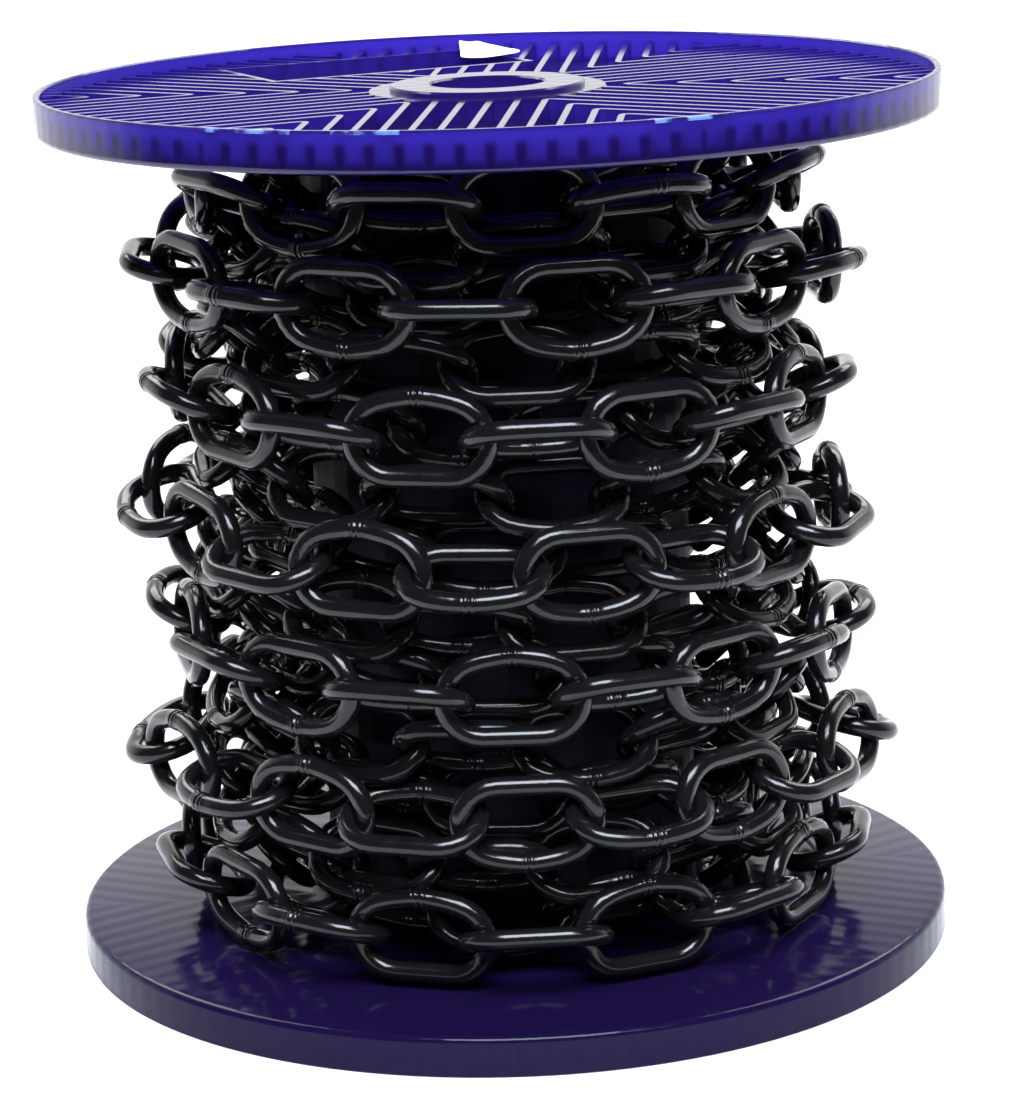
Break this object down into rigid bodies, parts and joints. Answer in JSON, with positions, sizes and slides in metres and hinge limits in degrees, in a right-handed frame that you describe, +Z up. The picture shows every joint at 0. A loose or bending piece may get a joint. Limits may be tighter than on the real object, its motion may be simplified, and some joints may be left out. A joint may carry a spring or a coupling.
{
  "type": "chain reel",
  "caption": "Upright plastic reel with two ribbed flanges, wound full with black welded steel chain, for cutting chain to length.",
  "frame": {"origin": "centre of the circle that the reel stands on", "axes": "+Z up along the reel's axis, -Y towards the side that the picture shows"},
  "size_m": [0.226, 0.226, 0.222],
  "materials": {
    "reel_plastic": "translucent blue, gloss",
    "barrel_plastic": "translucent blue, satin",
    "chain_steel": "glossy black coating"
  },
  "bodies": {
    "root": {"flange_bottom": "reel_plastic", "hub_bottom": "reel_plastic", "ribs_bottom_1": "reel_plastic", "ribs_bottom_2": "reel_plastic", "ribs_bottom_3": "reel_plastic", "ribs_bottom_4": "reel_plastic", "ribs_bottom_5": "reel_plastic", "ribs_bottom_6": "reel_plastic", "flange_top": "reel_plastic", "hub_top": "reel_plastic", "ribs_top_1": "reel_plastic", "ribs_top_2": "reel_plastic", "ribs_top_3": "reel_plastic", "ribs_top_4": "reel_plastic", "ribs_top_5": "reel_plastic", "ribs_top_6": "reel_plastic", "barrel": "barrel_plastic", "inner_layers": "chain_steel", "second_layer": "chain_steel", "chain_turn_1": "chain_steel", "chain_turn_2": "chain_steel", "chain_turn_3": "chain_steel", "chain_turn_4": "chain_steel", "chain_turn_5": "chain_steel", "chain_turn_6": "chain_steel", "chain_turn_7": "chain_steel"}
  },
  "joints": []
}
